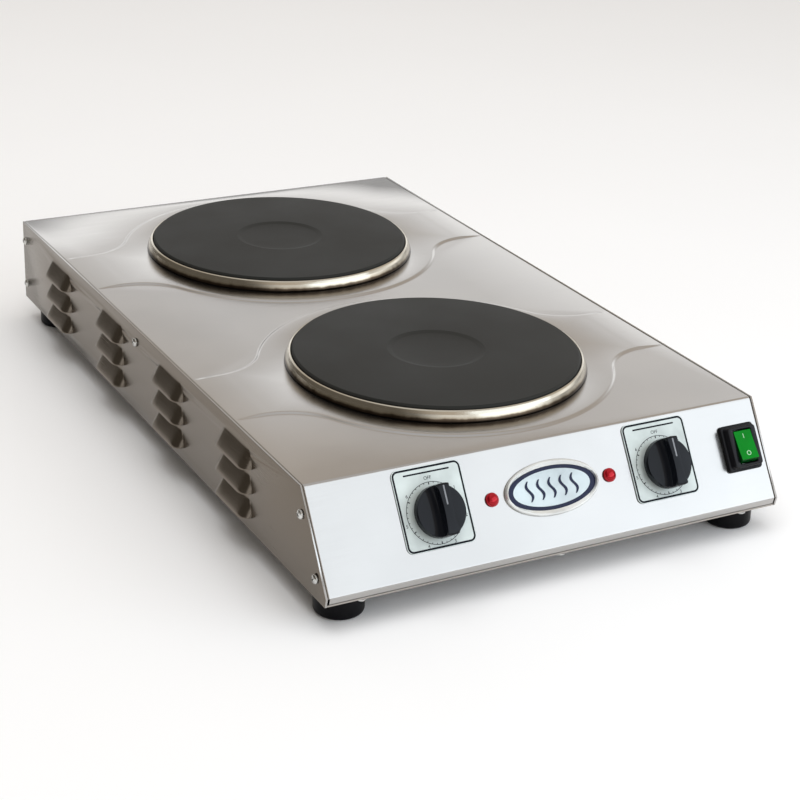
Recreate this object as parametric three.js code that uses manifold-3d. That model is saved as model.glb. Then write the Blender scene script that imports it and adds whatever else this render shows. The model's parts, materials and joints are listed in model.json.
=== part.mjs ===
// Twin cast-iron hot plate for a counter top, in millimetres, +Z up, controls facing -Y.
// Two round cast-iron plates lie one behind the other on a folded stainless steel casing. Its sloping
// front carries two heat knobs on dial plates, two red pilot lamps, an oval badge and a lit rocker switch.
// Inside are the energy regulators, the bars that clamp the plates down, the terminals and the leads.
// The origin lies on the counter, under the middle of the whole object.
import * as THREE from "three";
import { ConvexGeometry } from "three/addons/geometries/ConvexGeometry.js";
import { mergeVertices } from "three/addons/utils/BufferGeometryUtils.js";
import Module from "manifold-3d";

// ---------- driving dimensions ----------
const SHEET = 1; // thickness of the stainless sheet
const GAP = 0.3; // clearance between neighbouring pieces
const FLANGE = 14; // width of every bent-in flange
const CASING = { width: 303, depth: 514, height: 58.5, noseRun: 34.5, lipHeight: 5.5, lipTuck: 1.2 };
const EMBOSS = { radius: 111, halfWidth: 32, fillet: 40, height: 1 };
const FOOT = { radius: 14.5, tip: 12, height: 15.5, recess: 5.5, recessDepth: 5 };
const FOOT_PLACE = { fromSide: 19, fromEnd: 22.2 };
const PLATE = { radius: 90, spacing: 233, rise: 9.2, dishRadius: 29, dishDepth: 0.8, hole: 88.5, boss: 12 };
const RING = { radius: 94.5, top: 91, height: 7.6, sheet: 0.8 };
const CLAMP = { halfSpan: 98, width: 22, thickness: 2, drop: 26 };
const STUD = { radius: 3, length: 22, nutRadius: 6.5, nutHeight: 5 };
const LOUVRE = { length: 44, height: 12, reach: 6.5, pitch: 15.5, rows: 3, lowest: 24, wall: 0.8 };
const LOUVRE_GROUPS = { count: 4, pitch: 103.3, first: -137 };
const CONTROL = { height: 33.7, spacing: 152.4 };
const DIAL = { width: 43.6, height: 47.2, centre: 37.2, corner: 4, thickness: 0.5 };
const KNOB = { radius: 15, base: 4, top: 18, floor: 9.5, bar: 5, scoop: 90, chamfer: 1 };
const SHAFT = { radius: 3, tip: 8.4, tail: -14, flat: 2.2 };
const REGULATOR = { width: 44, height: 30, depth: 26, neck: 4.6, neckTop: 1.5 };
const LAMP = { spacing: 79, height: 34.3, lens: 4.1, reach: 3.2, body: 3.4, depth: 18 };
const BADGE = { width: 62, height: 32, centre: 34.2, thickness: 2.6, rim: 2.2, face: 0.7 };
const SWITCH = { x: 133.5, height: 34.3, width: 24.2, length: 28.4, flange: 2, taper: 1.7, collar: 6.4 };
const SWITCH_BODY = { depth: 20, inset: 1.6 };
const ROCKER = { halfWidth: 6.1, radius: 10, pivot: 3, middle: 8.4, endRise: 7.6, foot: -2.5, throw: 16 };
const TERMINAL = { width: 30, length: 20, height: 13, behind: 45 };
const MAINS_BLOCK = { x: 60, width: 40, length: 22, height: 16, fromBack: 60 };
const GLAND = { x: 90, height: 36, barrel: 8, bore: 5.5, hex: 13, hexLength: 6, reach: 14, nut: 5 };
const SCREW = { head: 2.9, headHeight: 2.1, shank: 1.6, hole: 2, length: 5, inset: 6.5, fromLip: 4.4 };
const LEAD = { radius: 2.2, sides: 6 };
// How many sides each round piece is made with.
const FACETS = { plate: 40, badge: 36, knob: 40, foot: 18, lamp: 14, screw: 8, hole: 8 };

// ---------- levels worked out from the dimensions ----------
const zBase = FOOT.height;
const zTop = zBase + CASING.height;
const zLip = zBase + CASING.lipHeight;
const zFold = zBase + SHEET + GAP; // the folds of the casing stand on the base panel
const zPlate = zTop + EMBOSS.height; // the pressed-up face that the plates lie on
const yFront = -CASING.depth / 2;
const yBack = CASING.depth / 2;
const yCrease = yFront + CASING.noseRun;
const xSide = CASING.width / 2;
const xFold = xSide - SHEET - GAP; // the folded sheets lie between the side panels
const yTopMiddle = (yCrease + yBack) / 2;
const plateCentres = { front: yTopMiddle - PLATE.spacing / 2, rear: yTopMiddle + PLATE.spacing / 2 };
const sides = { left: -1, right: 1 };
const noseAngle = Math.atan2(zTop - zLip, CASING.noseRun);
const knobFoot = CONTROL.height - KNOB.radius + KNOB.chamfer; // how far up the slope the knobs' faces begin
const knobFront = yFront + knobFoot * Math.cos(noseAngle) - KNOB.top * Math.sin(noseAngle);
const yOrigin = (knobFront + yBack + GLAND.reach) / 2;

// The casing's side view as [y, z], counter-clockwise from its top back corner.
const outline = [
  [yBack, zTop],
  [yCrease, zTop],
  [yFront, zLip],
  [yFront + CASING.lipTuck, zBase],
  [yBack, zBase],
];

// ---------- materials ----------
const finish = (color, roughness, metalness) =>
  new THREE.MeshStandardMaterial({ color, roughness, metalness });
const stainless = finish(0xc3c1bc, 0.3, 1);
const polished = finish(0xd2ccbf, 0.15, 1);
const zinc = finish(0xb8babd, 0.35, 1);
const castIron = finish(0x2b2d2c, 0.6, 0.3);
const blackGloss = finish(0x101113, 0.2, 0);
const blackMatt = finish(0x1a1b1d, 0.6, 0);
const rubber = finish(0x0c0c0d, 0.8, 0);
const redLens = finish(0xb01020, 0.15, 0);
const greenLens = finish(0x0c9a2c, 0.25, 0);
const printedLabel = finish(0xdfe6e4, 0.4, 0);
const badgeSilver = finish(0xdfe3e4, 0.2, 0.5);
const ceramic = finish(0xe4ddcb, 0.5, 0);
const insulation = finish(0x8a2f22, 0.6, 0);

// ---------- solids ----------
const wasm = await Module();
wasm.setup();

// A closed geometry as a solid that can be cut and joined.
function solid(geometry) {
  const bare = geometry.clone();
  bare.deleteAttribute("normal");
  bare.deleteAttribute("uv");
  const merged = mergeVertices(bare, 1e-4);
  const vertProperties = merged.attributes.position.array;
  const triVerts = new Uint32Array(merged.index.array);
  return new wasm.Manifold(new wasm.Mesh({ numProp: 3, vertProperties, triVerts }));
}

function geometryOf(body) {
  const mesh = body.getMesh();
  const geometry = new THREE.BufferGeometry();
  geometry.setAttribute("position", new THREE.BufferAttribute(mesh.vertProperties, 3));
  geometry.setIndex(new THREE.BufferAttribute(mesh.triVerts, 1));
  return geometry;
}

const join = (body, additions) => additions.reduce((all, shape) => all.add(solid(shape)), body);
const cut = (body, cutters) => cutters.reduce((rest, shape) => rest.subtract(solid(shape)), body);

function block(x0, x1, y0, y1, z0, z1) {
  const box = new THREE.BoxGeometry(x1 - x0, y1 - y0, z1 - z0);
  return box.translate((x0 + x1) / 2, (y0 + y1) / 2, (z0 + z1) / 2);
}

// A round rod standing along Z.
function rod(radius, z0, z1, facets = 24) {
  const cylinder = new THREE.CylinderGeometry(radius, radius, z1 - z0, facets);
  return cylinder.rotateX(Math.PI / 2).translate(0, 0, (z0 + z1) / 2);
}

// A profile of [radius, z], counter-clockwise, turned about Z.
function turned(profile, facets) {
  const points = profile.map(([radius, z]) => new THREE.Vector2(radius, z));
  return new THREE.LatheGeometry(points, facets).rotateX(Math.PI / 2);
}

const shapeOf = (points) => new THREE.Shape(points.map(([u, v]) => new THREE.Vector2(u, v)));

// A shape in X and Y, given thickness along Z.
function slab(shape, z0, z1, curveSegments = 6) {
  const options = { depth: z1 - z0, bevelEnabled: false, curveSegments };
  return new THREE.ExtrudeGeometry(shape, options).translate(0, 0, z0);
}

// An outline of [y, z] drawn out along X.
function prismAlongX(points, x0, x1) {
  const axis = (x, y, z) => new THREE.Vector3(x, y, z);
  const turn = new THREE.Matrix4().makeBasis(axis(0, 1, 0), axis(0, 0, 1), axis(1, 0, 0));
  return slab(shapeOf(points), x0, x1).applyMatrix4(turn);
}

// A rectangle with round corners about the origin.
function roundedRectangle(width, height, corner) {
  const shape = new THREE.Shape();
  const w = width / 2 - corner;
  const h = height / 2 - corner;
  shape.absarc(w, h, corner, 0, Math.PI / 2);
  shape.absarc(-w, h, corner, Math.PI / 2, Math.PI);
  shape.absarc(-w, -h, corner, Math.PI, 1.5 * Math.PI);
  shape.absarc(w, -h, corner, 1.5 * Math.PI, 2 * Math.PI);
  return shape;
}

// A counter-clockwise outline with each edge moved inwards by its own distance.
function inset(points, distances) {
  const lines = points.map(([ax, ay], i) => {
    const [bx, by] = points[(i + 1) % points.length];
    const length = Math.hypot(bx - ax, by - ay);
    const [nx, ny] = [(ay - by) / length, (bx - ax) / length];
    return [nx, ny, nx * ax + ny * ay + distances[i]];
  });
  return lines.map(([c, d, q], i) => {
    const [a, b, p] = lines[(i + lines.length - 1) % lines.length];
    const det = a * d - b * c;
    return [(p * d - q * b) / det, (q * a - p * c) / det];
  });
}

// A round lead through a list of points.
function tube(points, radius, facets) {
  const path = new THREE.CatmullRomCurve3(points.map((point) => new THREE.Vector3(...point)));
  const turn = (2 * Math.PI) / facets;
  const corner = (_, i) => [radius * Math.cos(i * turn), radius * Math.sin(i * turn)];
  const ring = Array.from({ length: facets }, corner);
  const steps = Math.ceil(path.getLength() / (6 * radius));
  return new THREE.ExtrudeGeometry(shapeOf(ring), { steps, bevelEnabled: false, extrudePath: path });
}

// ---------- the groups that hold the pieces ----------
const hotPlate = new THREE.Group();
hotPlate.position.y = -yOrigin;
const nose = new THREE.Group(); // the sloping panel: X to the right, Y up the slope, Z out of it
nose.position.set(0, yFront, zLip);
nose.rotation.x = noseAngle;
nose.updateMatrix();
hotPlate.add(nose);

function add(parent, name, shape, material, x = 0, y = 0, z = 0) {
  const geometry = shape.isBufferGeometry ? shape : geometryOf(shape);
  const mesh = new THREE.Mesh(geometry, material);
  mesh.name = name;
  mesh.position.set(x, y, z);
  parent.add(mesh);
  return mesh;
}

// Carries a cutter from the sloping panel's own axes to the casing's.
const fromNose = (geometry, x, y) => geometry.translate(x, y, 0).applyMatrix4(nose.matrix);

// ---------- where the screws and feet go ----------
// A place on a side panel at this height, one screw inset in from the sloping edge.
function besideSlope(z) {
  const ySlope = yFront + ((z - zLip) * CASING.noseRun) / (zTop - zLip);
  return [ySlope + SCREW.inset / Math.sin(noseAngle), z];
}

const coverScrews = {
  front_upper: besideSlope(58),
  front_lower: besideSlope(28),
  middle: [yTopMiddle + 7, zTop - 9],
};
const backScrews = { rear_upper: [yBack - SCREW.inset, 61], rear_lower: [yBack - SCREW.inset, 28] };
const baseScrews = { left: -128, middle: 0, right: 128 };
const yBaseScrews = yFront + SCREW.fromLip;
const corners = { front_left: [-1, -1], front_right: [1, -1], rear_left: [-1, 1], rear_right: [1, 1] };
const xFoot = xSide - FOOT_PLACE.fromSide;
const yFoot = yBack - FOOT_PLACE.fromEnd;

const sideHoles = (places) =>
  Object.values(places).map(([y, z]) =>
    rod(SCREW.hole, -xSide - SHEET, xSide + SHEET, FACETS.hole).rotateY(Math.PI / 2).translate(0, y, z),
  );
const baseHoles = () =>
  Object.values(baseScrews).map((x) =>
    rod(SCREW.hole, zBase - SHEET, zFold + 2 * SHEET, FACETS.hole).translate(x, yBaseScrews, 0),
  );
const footHoles = () =>
  Object.values(corners).map(([sx, sy]) =>
    rod(SCREW.hole, zBase - SHEET, zBase + 2 * SHEET, FACETS.hole).translate(sx * xFoot, sy * yFoot, 0),
  );

// ---------- casing ----------
// The face pressed up round a plate: a disc that runs out to both sides in a band, with filleted corners.
function embossedShape() {
  const { radius, halfWidth, fillet } = EMBOSS;
  const x = Math.sqrt((radius + fillet) ** 2 - (halfWidth + fillet) ** 2);
  const y = halfWidth + fillet;
  const angle = Math.atan2(y, x);
  const quarter = Math.PI / 2;
  const shape = new THREE.Shape();
  shape.moveTo(xFold, -halfWidth);
  shape.lineTo(xFold, halfWidth);
  shape.absarc(x, y, fillet, 3 * quarter, 2 * quarter + angle, true);
  shape.absarc(0, 0, radius, angle, 2 * quarter - angle);
  shape.absarc(-x, y, fillet, -angle, -quarter, true);
  shape.lineTo(-xFold, halfWidth);
  shape.lineTo(-xFold, -halfWidth);
  shape.absarc(-x, -y, fillet, quarter, angle, true);
  shape.absarc(0, 0, radius, 2 * quarter + angle, 4 * quarter - angle);
  shape.absarc(x, -y, fillet, 2 * quarter - angle, quarter, true);
  return shape;
}

// One folded sheet: the top, the sloping front, its lip and a return below, with flanges inside the sides.
function topCover() {
  const folded = inset(outline, [0, 0, 0, SHEET + GAP, 0]);
  const hollow = inset(folded, [SHEET, SHEET, SHEET, SHEET, -FLANGE]);
  const window = inset(folded, [SHEET, FLANGE, FLANGE, -FLANGE, -FLANGE]);
  const [yTab] = coverScrews.middle;
  const tab = (x0, x1) => block(x0, x1, yTab - FLANGE, yTab + FLANGE, zTop - 1.3 * FLANGE, zTop - SHEET / 2);
  const shell = cut(solid(prismAlongX(folded, -xFold, xFold)), [
    prismAlongX(hollow, SHEET - xFold, xFold - SHEET),
    prismAlongX(window, -xFold - SHEET, xFold + SHEET),
  ]);
  const embossed = Object.values(plateCentres).map((y) =>
    slab(embossedShape(), zTop - SHEET / 2, zPlate, 5).translate(0, y, 0),
  );
  const plateHoles = Object.values(plateCentres).map((y) =>
    rod(PLATE.hole, zTop - 2 * SHEET, zPlate + SHEET, FACETS.plate).translate(0, y, 0),
  );
  const controlHoles = Object.values(sides).flatMap((side) => [
    fromNose(rod(REGULATOR.neck + GAP, -3, 3, 16), (side * CONTROL.spacing) / 2, CONTROL.height),
    fromNose(rod(LAMP.body + GAP, -3, 3, 16), (side * LAMP.spacing) / 2, LAMP.height),
  ]);
  const w = SWITCH.width / 2 - SWITCH_BODY.inset + GAP;
  const h = SWITCH.length / 2 - SWITCH_BODY.inset + GAP;
  const switchHole = fromNose(block(-w, w, -h, h, -3, 3), SWITCH.x, SWITCH.height);
  const whole = join(shell, [tab(-xFold, SHEET - xFold), tab(xFold - SHEET, xFold), ...embossed]);
  const fixingHoles = [...sideHoles(coverScrews), ...baseHoles()];
  return cut(whole, [...plateHoles, ...controlHoles, switchHole, ...fixingHoles]);
}

// One louvre hood, leaning out as it comes down: a half ellipse on the panel and a lower one further out.
function louvreHull(side, y, zFoot, xIn, xOut, wall) {
  const half = LOUVRE.length / 2 - wall;
  const height = LOUVRE.height - wall;
  const low = wall > 0 ? zFoot - wall : zFoot;
  const points = [];
  for (let step = 0; step <= 6; step++) {
    const [c, s] = [Math.cos((step * Math.PI) / 6), Math.sin((step * Math.PI) / 6)];
    points.push(new THREE.Vector3(side * xIn, y + half * c, low + height * Math.sqrt(s)));
    points.push(new THREE.Vector3(side * xOut, y + (half - 3) * c, low + 0.45 * height * Math.sqrt(s)));
  }
  return new ConvexGeometry(points);
}

function sidePanel(side) {
  const [outer, inner] = [[], []];
  for (let group = 0; group < LOUVRE_GROUPS.count; group++) {
    for (let row = 0; row < LOUVRE.rows; row++) {
      const y = LOUVRE_GROUPS.first + group * LOUVRE_GROUPS.pitch;
      const z = LOUVRE.lowest + row * LOUVRE.pitch;
      outer.push(louvreHull(side, y, z, xSide - SHEET / 2, xSide + LOUVRE.reach, 0));
      inner.push(louvreHull(side, y, z, xSide - 2 * SHEET, xSide + LOUVRE.reach - LOUVRE.wall, LOUVRE.wall));
    }
  }
  const [x0, x1] = [side * (xSide - SHEET), side * xSide].sort((a, b) => a - b);
  const sheet = join(solid(prismAlongX(outline, x0, x1)), outer);
  return cut(sheet, [...inner, ...sideHoles(coverScrews), ...sideHoles(backScrews)]);
}

// A shallow pan standing on its edge: the back sheet, with a flange bent forward all round.
function backPanel() {
  const zUnderTop = zTop - SHEET - GAP;
  return cut(solid(block(-xFold, xFold, yBack - FLANGE, yBack, zFold, zUnderTop)), [
    block(SHEET - xFold, xFold - SHEET, yBack - 2 * FLANGE, yBack - SHEET, zFold + SHEET, zUnderTop - SHEET),
    rod(GLAND.barrel + GAP, -FLANGE, FLANGE, 20).rotateX(Math.PI / 2).translate(GLAND.x, yBack, GLAND.height),
    ...sideHoles(backScrews),
  ]);
}

function basePanel() {
  const sheet = block(-xFold, xFold, yFront + CASING.lipTuck + GAP, yBack, zBase, zBase + SHEET);
  return cut(solid(sheet), [...footHoles(), ...baseHoles()]);
}

function foot() {
  const { radius, tip, recess, recessDepth, height } = FOOT;
  const round = radius - tip;
  const corner = [1, 2, 3].map((step) => {
    const angle = (step * Math.PI) / 6;
    return [tip + round * Math.sin(angle), round * (1 - Math.cos(angle))];
  });
  const bore = SCREW.hole + GAP;
  const top = height - GAP;
  const inside = [[bore, recessDepth], [recess, recessDepth], [recess, 0]];
  return turned([...inside, [tip, 0], ...corner, [radius, top], [bore, top], inside[0]], FACETS.foot);
}

// A dome-headed screw pointing down, its head's underside at z = 0.
function screw(length) {
  const { head, headHeight, shank } = SCREW;
  const shoulder = [head * Math.cos(Math.PI / 4), headHeight * Math.sin(Math.PI / 3)];
  const below = [[0, -length], [shank, -length], [shank, 0], [head, 0]];
  return turned([...below, [head, headHeight / 3], shoulder, [0, headHeight]], FACETS.screw);
}

// ---------- plates ----------
function castPlate() {
  const { radius, rise, dishRadius, dishDepth, hole, boss } = PLATE;
  const neck = hole - 2;
  const under = EMBOSS.height + RING.sheet;
  return turned(
    [
      [0, -boss],
      [10, -boss],
      [12, -boss / 2],
      [neck, -boss / 2],
      [neck, under],
      [radius, under + 1.5],
      [radius, rise - 1],
      [radius - 1, rise],
      [dishRadius + 1.2, rise],
      [dishRadius, rise - dishDepth],
      [0, rise - dishDepth],
    ],
    FACETS.plate,
  );
}

// The stainless ring that closes the gap between a plate and the casing.
function trimRing() {
  const { radius, top, height, sheet } = RING;
  const low = EMBOSS.height + GAP;
  const arch = (shrink) =>
    [0, 1, 2, 3].map((step) => {
      const angle = (step * Math.PI) / 6;
      const r = top + (radius - shrink - top) * Math.cos(angle);
      return [step === 3 ? PLATE.radius + GAP : r, low + (height - shrink - low) * Math.sin(angle)];
    });
  const outer = arch(0);
  return turned([...outer, ...arch(sheet).reverse(), outer[0]], FACETS.plate);
}

function clampBar() {
  const { halfSpan, width, thickness, drop } = CLAMP;
  const leg = (x0, x1) => block(x0, x1, -width / 2, width / 2, -drop, -SHEET - GAP);
  const bar = block(-halfSpan, halfSpan, -width / 2, width / 2, -drop, thickness - drop);
  const legs = [leg(-halfSpan, thickness - halfSpan), leg(halfSpan - thickness, halfSpan)];
  return cut(join(solid(bar), legs), [rod(STUD.radius + GAP, -drop - 1, thickness - drop + 1, 12)]);
}

function hexNut() {
  const { radius, nutRadius, nutHeight } = STUD;
  return cut(solid(rod(nutRadius, -nutHeight, 0, 6)), [rod(radius + GAP, -nutHeight - 1, 1, 12)]);
}

// ---------- controls ----------
function knob() {
  const { radius, base, top, floor, bar, scoop, chamfer } = KNOB;
  const foot = [[0, base], [radius - 0.6, base], [radius, base + 0.6]];
  const face = [[radius, top - chamfer], [radius - chamfer, top], [0, top]];
  const bore = rod(SHAFT.radius + GAP, base - 1, SHAFT.tip + GAP, 16);
  const scoops = Object.values(sides).map((side) =>
    rod(scoop, floor, top + 1, 96).translate(side * (scoop + bar / 2), 0, 0),
  );
  return cut(solid(turned([...foot, ...face], FACETS.knob)), [...scoops, bore]);
}

function shaft() {
  const { radius, tip, tail, flat } = SHAFT;
  const besideFlat = block(-radius, radius, flat, 2 * radius, KNOB.base, tip + 1);
  return cut(solid(rod(radius, tail, tip, 16)), [besideFlat]);
}

function energyRegulator() {
  const { width, height, depth, neck, neckTop } = REGULATOR;
  const top = -SHEET - GAP;
  const box = solid(block(-width / 2, width / 2, -height / 2, height / 2, top - depth, top));
  const bore = rod(SHAFT.radius + GAP, SHAFT.tail - GAP, neckTop + 1, 16);
  return cut(join(box, [rod(neck, top - 1, neckTop, 16)]), [bore]);
}

function dialPlate() {
  const shape = roundedRectangle(DIAL.width, DIAL.height, DIAL.corner);
  const sheet = slab(shape, GAP, GAP + DIAL.thickness, 4).translate(0, DIAL.centre - CONTROL.height, 0);
  return cut(solid(sheet), [rod(REGULATOR.neck + GAP, -1, 2, 20)]);
}

function pilotLens() {
  const dome = [0, 1, 2].map((step) => {
    const angle = (step * Math.PI) / 6;
    return [LAMP.lens * Math.cos(angle), 1 + (LAMP.reach - 1) * Math.sin(angle)];
  });
  return turned([[0, GAP], [LAMP.lens, GAP], ...dome, [0, LAMP.reach]], FACETS.lamp);
}

function badge() {
  const half = BADGE.width / 2;
  const { thickness, rim, face } = BADGE;
  const edge = [[0, GAP], [half, GAP], [half, face]];
  const profile = [...edge, [half - rim / 2, thickness], [half - rim, face], [0, face]];
  return turned(profile, FACETS.badge).scale(1, BADGE.height / BADGE.width, 1);
}

const rockerWell = (z0, z1) => {
  const [w, h] = [ROCKER.halfWidth + GAP, ROCKER.radius + GAP];
  return block(-w, w, -h, h, z0, z1);
};

function switchFrame() {
  const { width, length, collar, flange, taper } = SWITCH;
  const [w, h] = [width / 2, length / 2];
  const signs = [[-1, -1], [-1, 1], [1, -1], [1, 1]];
  const ring = (tuck, z) => signs.map(([sx, sy]) => new THREE.Vector3(sx * (w - tuck), sy * (h - tuck), z));
  const hull = new ConvexGeometry([...ring(0, GAP), ...ring(0, flange), ...ring(taper, collar)]);
  return cut(solid(hull), [rockerWell(-1, collar + 1)]);
}

function switchBody() {
  const w = SWITCH.width / 2 - SWITCH_BODY.inset;
  const h = SWITCH.length / 2 - SWITCH_BODY.inset;
  return cut(solid(block(-w, w, -h, h, -SWITCH_BODY.depth, 0)), [rockerWell(ROCKER.foot - 2, 1)]);
}

// The rocker about its own pivot: round ends that stay inside the well, and a shallow V across the top.
function rocker() {
  const { halfWidth, radius, middle, endRise, pivot, foot: footLevel } = ROCKER;
  const rise = Math.asin((endRise - pivot) / radius);
  const ends = [-0.3, 0, rise].map((angle) => [radius * Math.cos(angle), radius * Math.sin(angle)]);
  const mirrored = ends.map(([y, z]) => [-y, z]).reverse();
  const underside = [-4, 4].map((y) => [y, footLevel - pivot]);
  const profile = [...underside, ...ends, [0, middle - pivot - 1], ...mirrored];
  return prismAlongX(profile, -halfWidth, halfWidth);
}

// ---------- supply ----------
// The gland's thread starts inside at y = -14 and its dome ends outside, about the axis Y.
function cableGland() {
  const { barrel, bore, hex, hexLength, reach } = GLAND;
  const shoulder = hex - 2;
  const outside = [[barrel, -FLANGE], [barrel, 1], [shoulder, 1], [shoulder, hexLength + 1], [barrel, reach]];
  const thread = turned([[bore, -FLANGE], ...outside, [bore, reach], [bore, -FLANGE]], 18);
  const collar = solid(rod(hex, GAP, hexLength, 6));
  const bored = cut(collar, [rod(barrel - 1, -1, hexLength + 1, 18)]);
  return geometryOf(bored.add(solid(thread))).rotateX(-Math.PI / 2);
}

function glandNut() {
  const { barrel, hex, nut } = GLAND;
  const ring = cut(solid(rod(hex, -nut, 0, 6)), [rod(barrel + GAP, -nut - 1, 1, 24)]);
  return geometryOf(ring).rotateX(-Math.PI / 2);
}

const terminalBlock = ({ width, length, height }) =>
  block(-width / 2, width / 2, -length / 2, length / 2, 0, height);

// ---------- assembly ----------
add(hotPlate, "top_cover", topCover(), stainless);
add(hotPlate, "back_panel", backPanel(), stainless);
add(hotPlate, "base_panel", basePanel(), stainless);
for (const [name, side] of Object.entries(sides)) {
  add(hotPlate, `side_panel_${name}`, sidePanel(side), stainless);
  for (const [place, [y, z]] of Object.entries({ ...coverScrews, ...backScrews })) {
    const x = side * (xSide + GAP);
    const mesh = add(hotPlate, `screw_${name}_${place}`, screw(SCREW.length), zinc, x, y, z);
    mesh.rotation.y = (side * Math.PI) / 2;
  }
}
for (const [name, x] of Object.entries(baseScrews)) {
  const mesh = add(hotPlate, `screw_base_${name}`, screw(SCREW.length), zinc, x, yBaseScrews, zBase - GAP);
  mesh.rotation.x = Math.PI;
}
for (const [name, [sx, sy]] of Object.entries(corners)) {
  const [x, y] = [sx * xFoot, sy * yFoot];
  const length = zBase + 2 * SHEET - FOOT.recessDepth;
  add(hotPlate, `foot_${name}`, foot(), rubber, x, y);
  const mesh = add(hotPlate, `foot_screw_${name}`, screw(length), zinc, x, y, FOOT.recessDepth - GAP);
  mesh.rotation.x = Math.PI;
}

for (const [name, y] of Object.entries(plateCentres)) {
  add(hotPlate, `hot_plate_${name}`, castPlate(), castIron, 0, y, zTop);
  add(hotPlate, `trim_ring_${name}`, trimRing(), polished, 0, y, zTop);
  add(hotPlate, `clamp_bar_${name}`, clampBar(), zinc, 0, y, zTop);
  const zStud = zTop - PLATE.boss - GAP;
  add(hotPlate, `plate_stud_${name}`, rod(STUD.radius, -STUD.length, 0, 12), zinc, 0, y, zStud);
  add(hotPlate, `plate_nut_${name}`, hexNut(), zinc, 0, y, zTop - CLAMP.drop - GAP);
  const yTerminal = y + TERMINAL.behind;
  const zTerminal = zTop - PLATE.boss / 2 - GAP - TERMINAL.height;
  add(hotPlate, `plate_terminal_${name}`, terminalBlock(TERMINAL), ceramic, 0, yTerminal, zTerminal);
}

for (const [name, side] of Object.entries(sides)) {
  const x = (side * CONTROL.spacing) / 2;
  add(nose, `dial_plate_${name}`, dialPlate(), printedLabel, x, CONTROL.height);
  add(nose, `energy_regulator_${name}`, energyRegulator(), blackMatt, x, CONTROL.height);
  add(nose, `knob_shaft_${name}`, shaft(), zinc, x, CONTROL.height);
  add(nose, `knob_${name}`, knob(), blackGloss, x, CONTROL.height);
  const xLamp = (side * LAMP.spacing) / 2;
  add(nose, `pilot_lens_${name}`, pilotLens(), redLens, xLamp, LAMP.height);
  add(nose, `pilot_body_${name}`, rod(LAMP.body, -LAMP.depth, 0, 16), blackMatt, xLamp, LAMP.height);
}
add(nose, "badge", badge(), badgeSilver, 0, BADGE.centre);
add(nose, "switch_frame", switchFrame(), blackMatt, SWITCH.x, SWITCH.height);
add(nose, "switch_body", switchBody(), blackMatt, SWITCH.x, SWITCH.height);
const rockerMesh = add(nose, "rocker", rocker(), greenLens, SWITCH.x, SWITCH.height, ROCKER.pivot);
rockerMesh.rotation.x = -THREE.MathUtils.degToRad(ROCKER.throw / 2);

add(hotPlate, "cable_gland", cableGland(), blackMatt, GLAND.x, yBack, GLAND.height);
add(hotPlate, "gland_nut", glandNut(), blackMatt, GLAND.x, yBack - SHEET - GAP, GLAND.height);
const zMains = zBase + SHEET + GAP;
const yMains = yBack - MAINS_BLOCK.fromBack;
add(hotPlate, "mains_terminal", terminalBlock(MAINS_BLOCK), ceramic, MAINS_BLOCK.x, yMains, zMains);

// Leads lie between the base panel and the clamp bars, and rise to what they feed.
const zRun = zBase + 12;
const leads = {
  lead_mains_to_switch: [
    [MAINS_BLOCK.x + 25, yMains, zRun],
    [125, yMains - 60, zRun],
    [125, 0, zRun],
    [125, yFront + 80, zRun],
    [SWITCH.x - 3, yFront + 45, zRun + 6],
  ],
  lead_rear_plate: [
    [-70, yFront + 62, zRun],
    [-110, yFront + 110, zRun],
    [-115, 0, zRun],
    [-60, plateCentres.rear, zRun],
    [-TERMINAL.width / 2 - 4, plateCentres.rear + TERMINAL.behind, zRun + 25],
  ],
  lead_front_plate: [
    [70, yFront + 62, zRun],
    [60, yFront + 120, zRun],
    [50, plateCentres.front, zRun],
    [TERMINAL.width / 2 + 4, plateCentres.front + TERMINAL.behind, zRun + 25],
  ],
};
for (const [name, points] of Object.entries(leads)) {
  add(hotPlate, name, tube(points, LEAD.radius, LEAD.sides), insulation);
}

export default hotPlate;
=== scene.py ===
"""Looks of a twin cast-iron countertop hot plate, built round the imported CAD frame.

Pieces are modelled in millimetres in one of two spaces, then placed in the row frame in metres:
- the casing's own space: X right, Y to the back, Z up, its origin on the counter under the casing's middle;
- the sloping front's space: X right, Y up the slope, Z out of it, its origin between the two knobs.
"""
import json
import math

import bmesh
import bpy
from mathutils import Matrix, Vector
from mathutils.geometry import delaunay_2d_cdt


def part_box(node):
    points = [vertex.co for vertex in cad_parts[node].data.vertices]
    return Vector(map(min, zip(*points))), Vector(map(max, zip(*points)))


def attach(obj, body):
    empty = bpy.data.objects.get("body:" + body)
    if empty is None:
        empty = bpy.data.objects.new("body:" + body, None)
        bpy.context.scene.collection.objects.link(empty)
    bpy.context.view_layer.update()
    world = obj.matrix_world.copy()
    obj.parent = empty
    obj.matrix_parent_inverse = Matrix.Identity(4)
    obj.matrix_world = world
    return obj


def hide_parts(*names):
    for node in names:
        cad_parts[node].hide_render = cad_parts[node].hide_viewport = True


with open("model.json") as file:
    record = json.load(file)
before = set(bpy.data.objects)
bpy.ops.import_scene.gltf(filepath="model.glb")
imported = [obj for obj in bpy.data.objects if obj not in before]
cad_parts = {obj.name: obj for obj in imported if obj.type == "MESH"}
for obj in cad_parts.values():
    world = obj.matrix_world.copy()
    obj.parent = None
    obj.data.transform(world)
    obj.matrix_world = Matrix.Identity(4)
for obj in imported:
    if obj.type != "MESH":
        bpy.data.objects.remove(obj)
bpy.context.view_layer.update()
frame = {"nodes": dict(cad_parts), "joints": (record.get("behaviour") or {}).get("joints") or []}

# ---------- sizes, in millimetres ----------
MM = 0.001
SHEET = 1.0
GAP = 0.3
FOLD_RADIUS = 2.2
EDGE_RADIUS = 1.2
EDGE_FLANGE = 5.0
SUPPORT = 0.8  # width of the flat strip that keeps a bend's shading off the flat beside it
NOSE_RUN = 34.5
LIP_HEIGHT = 5.5
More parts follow.
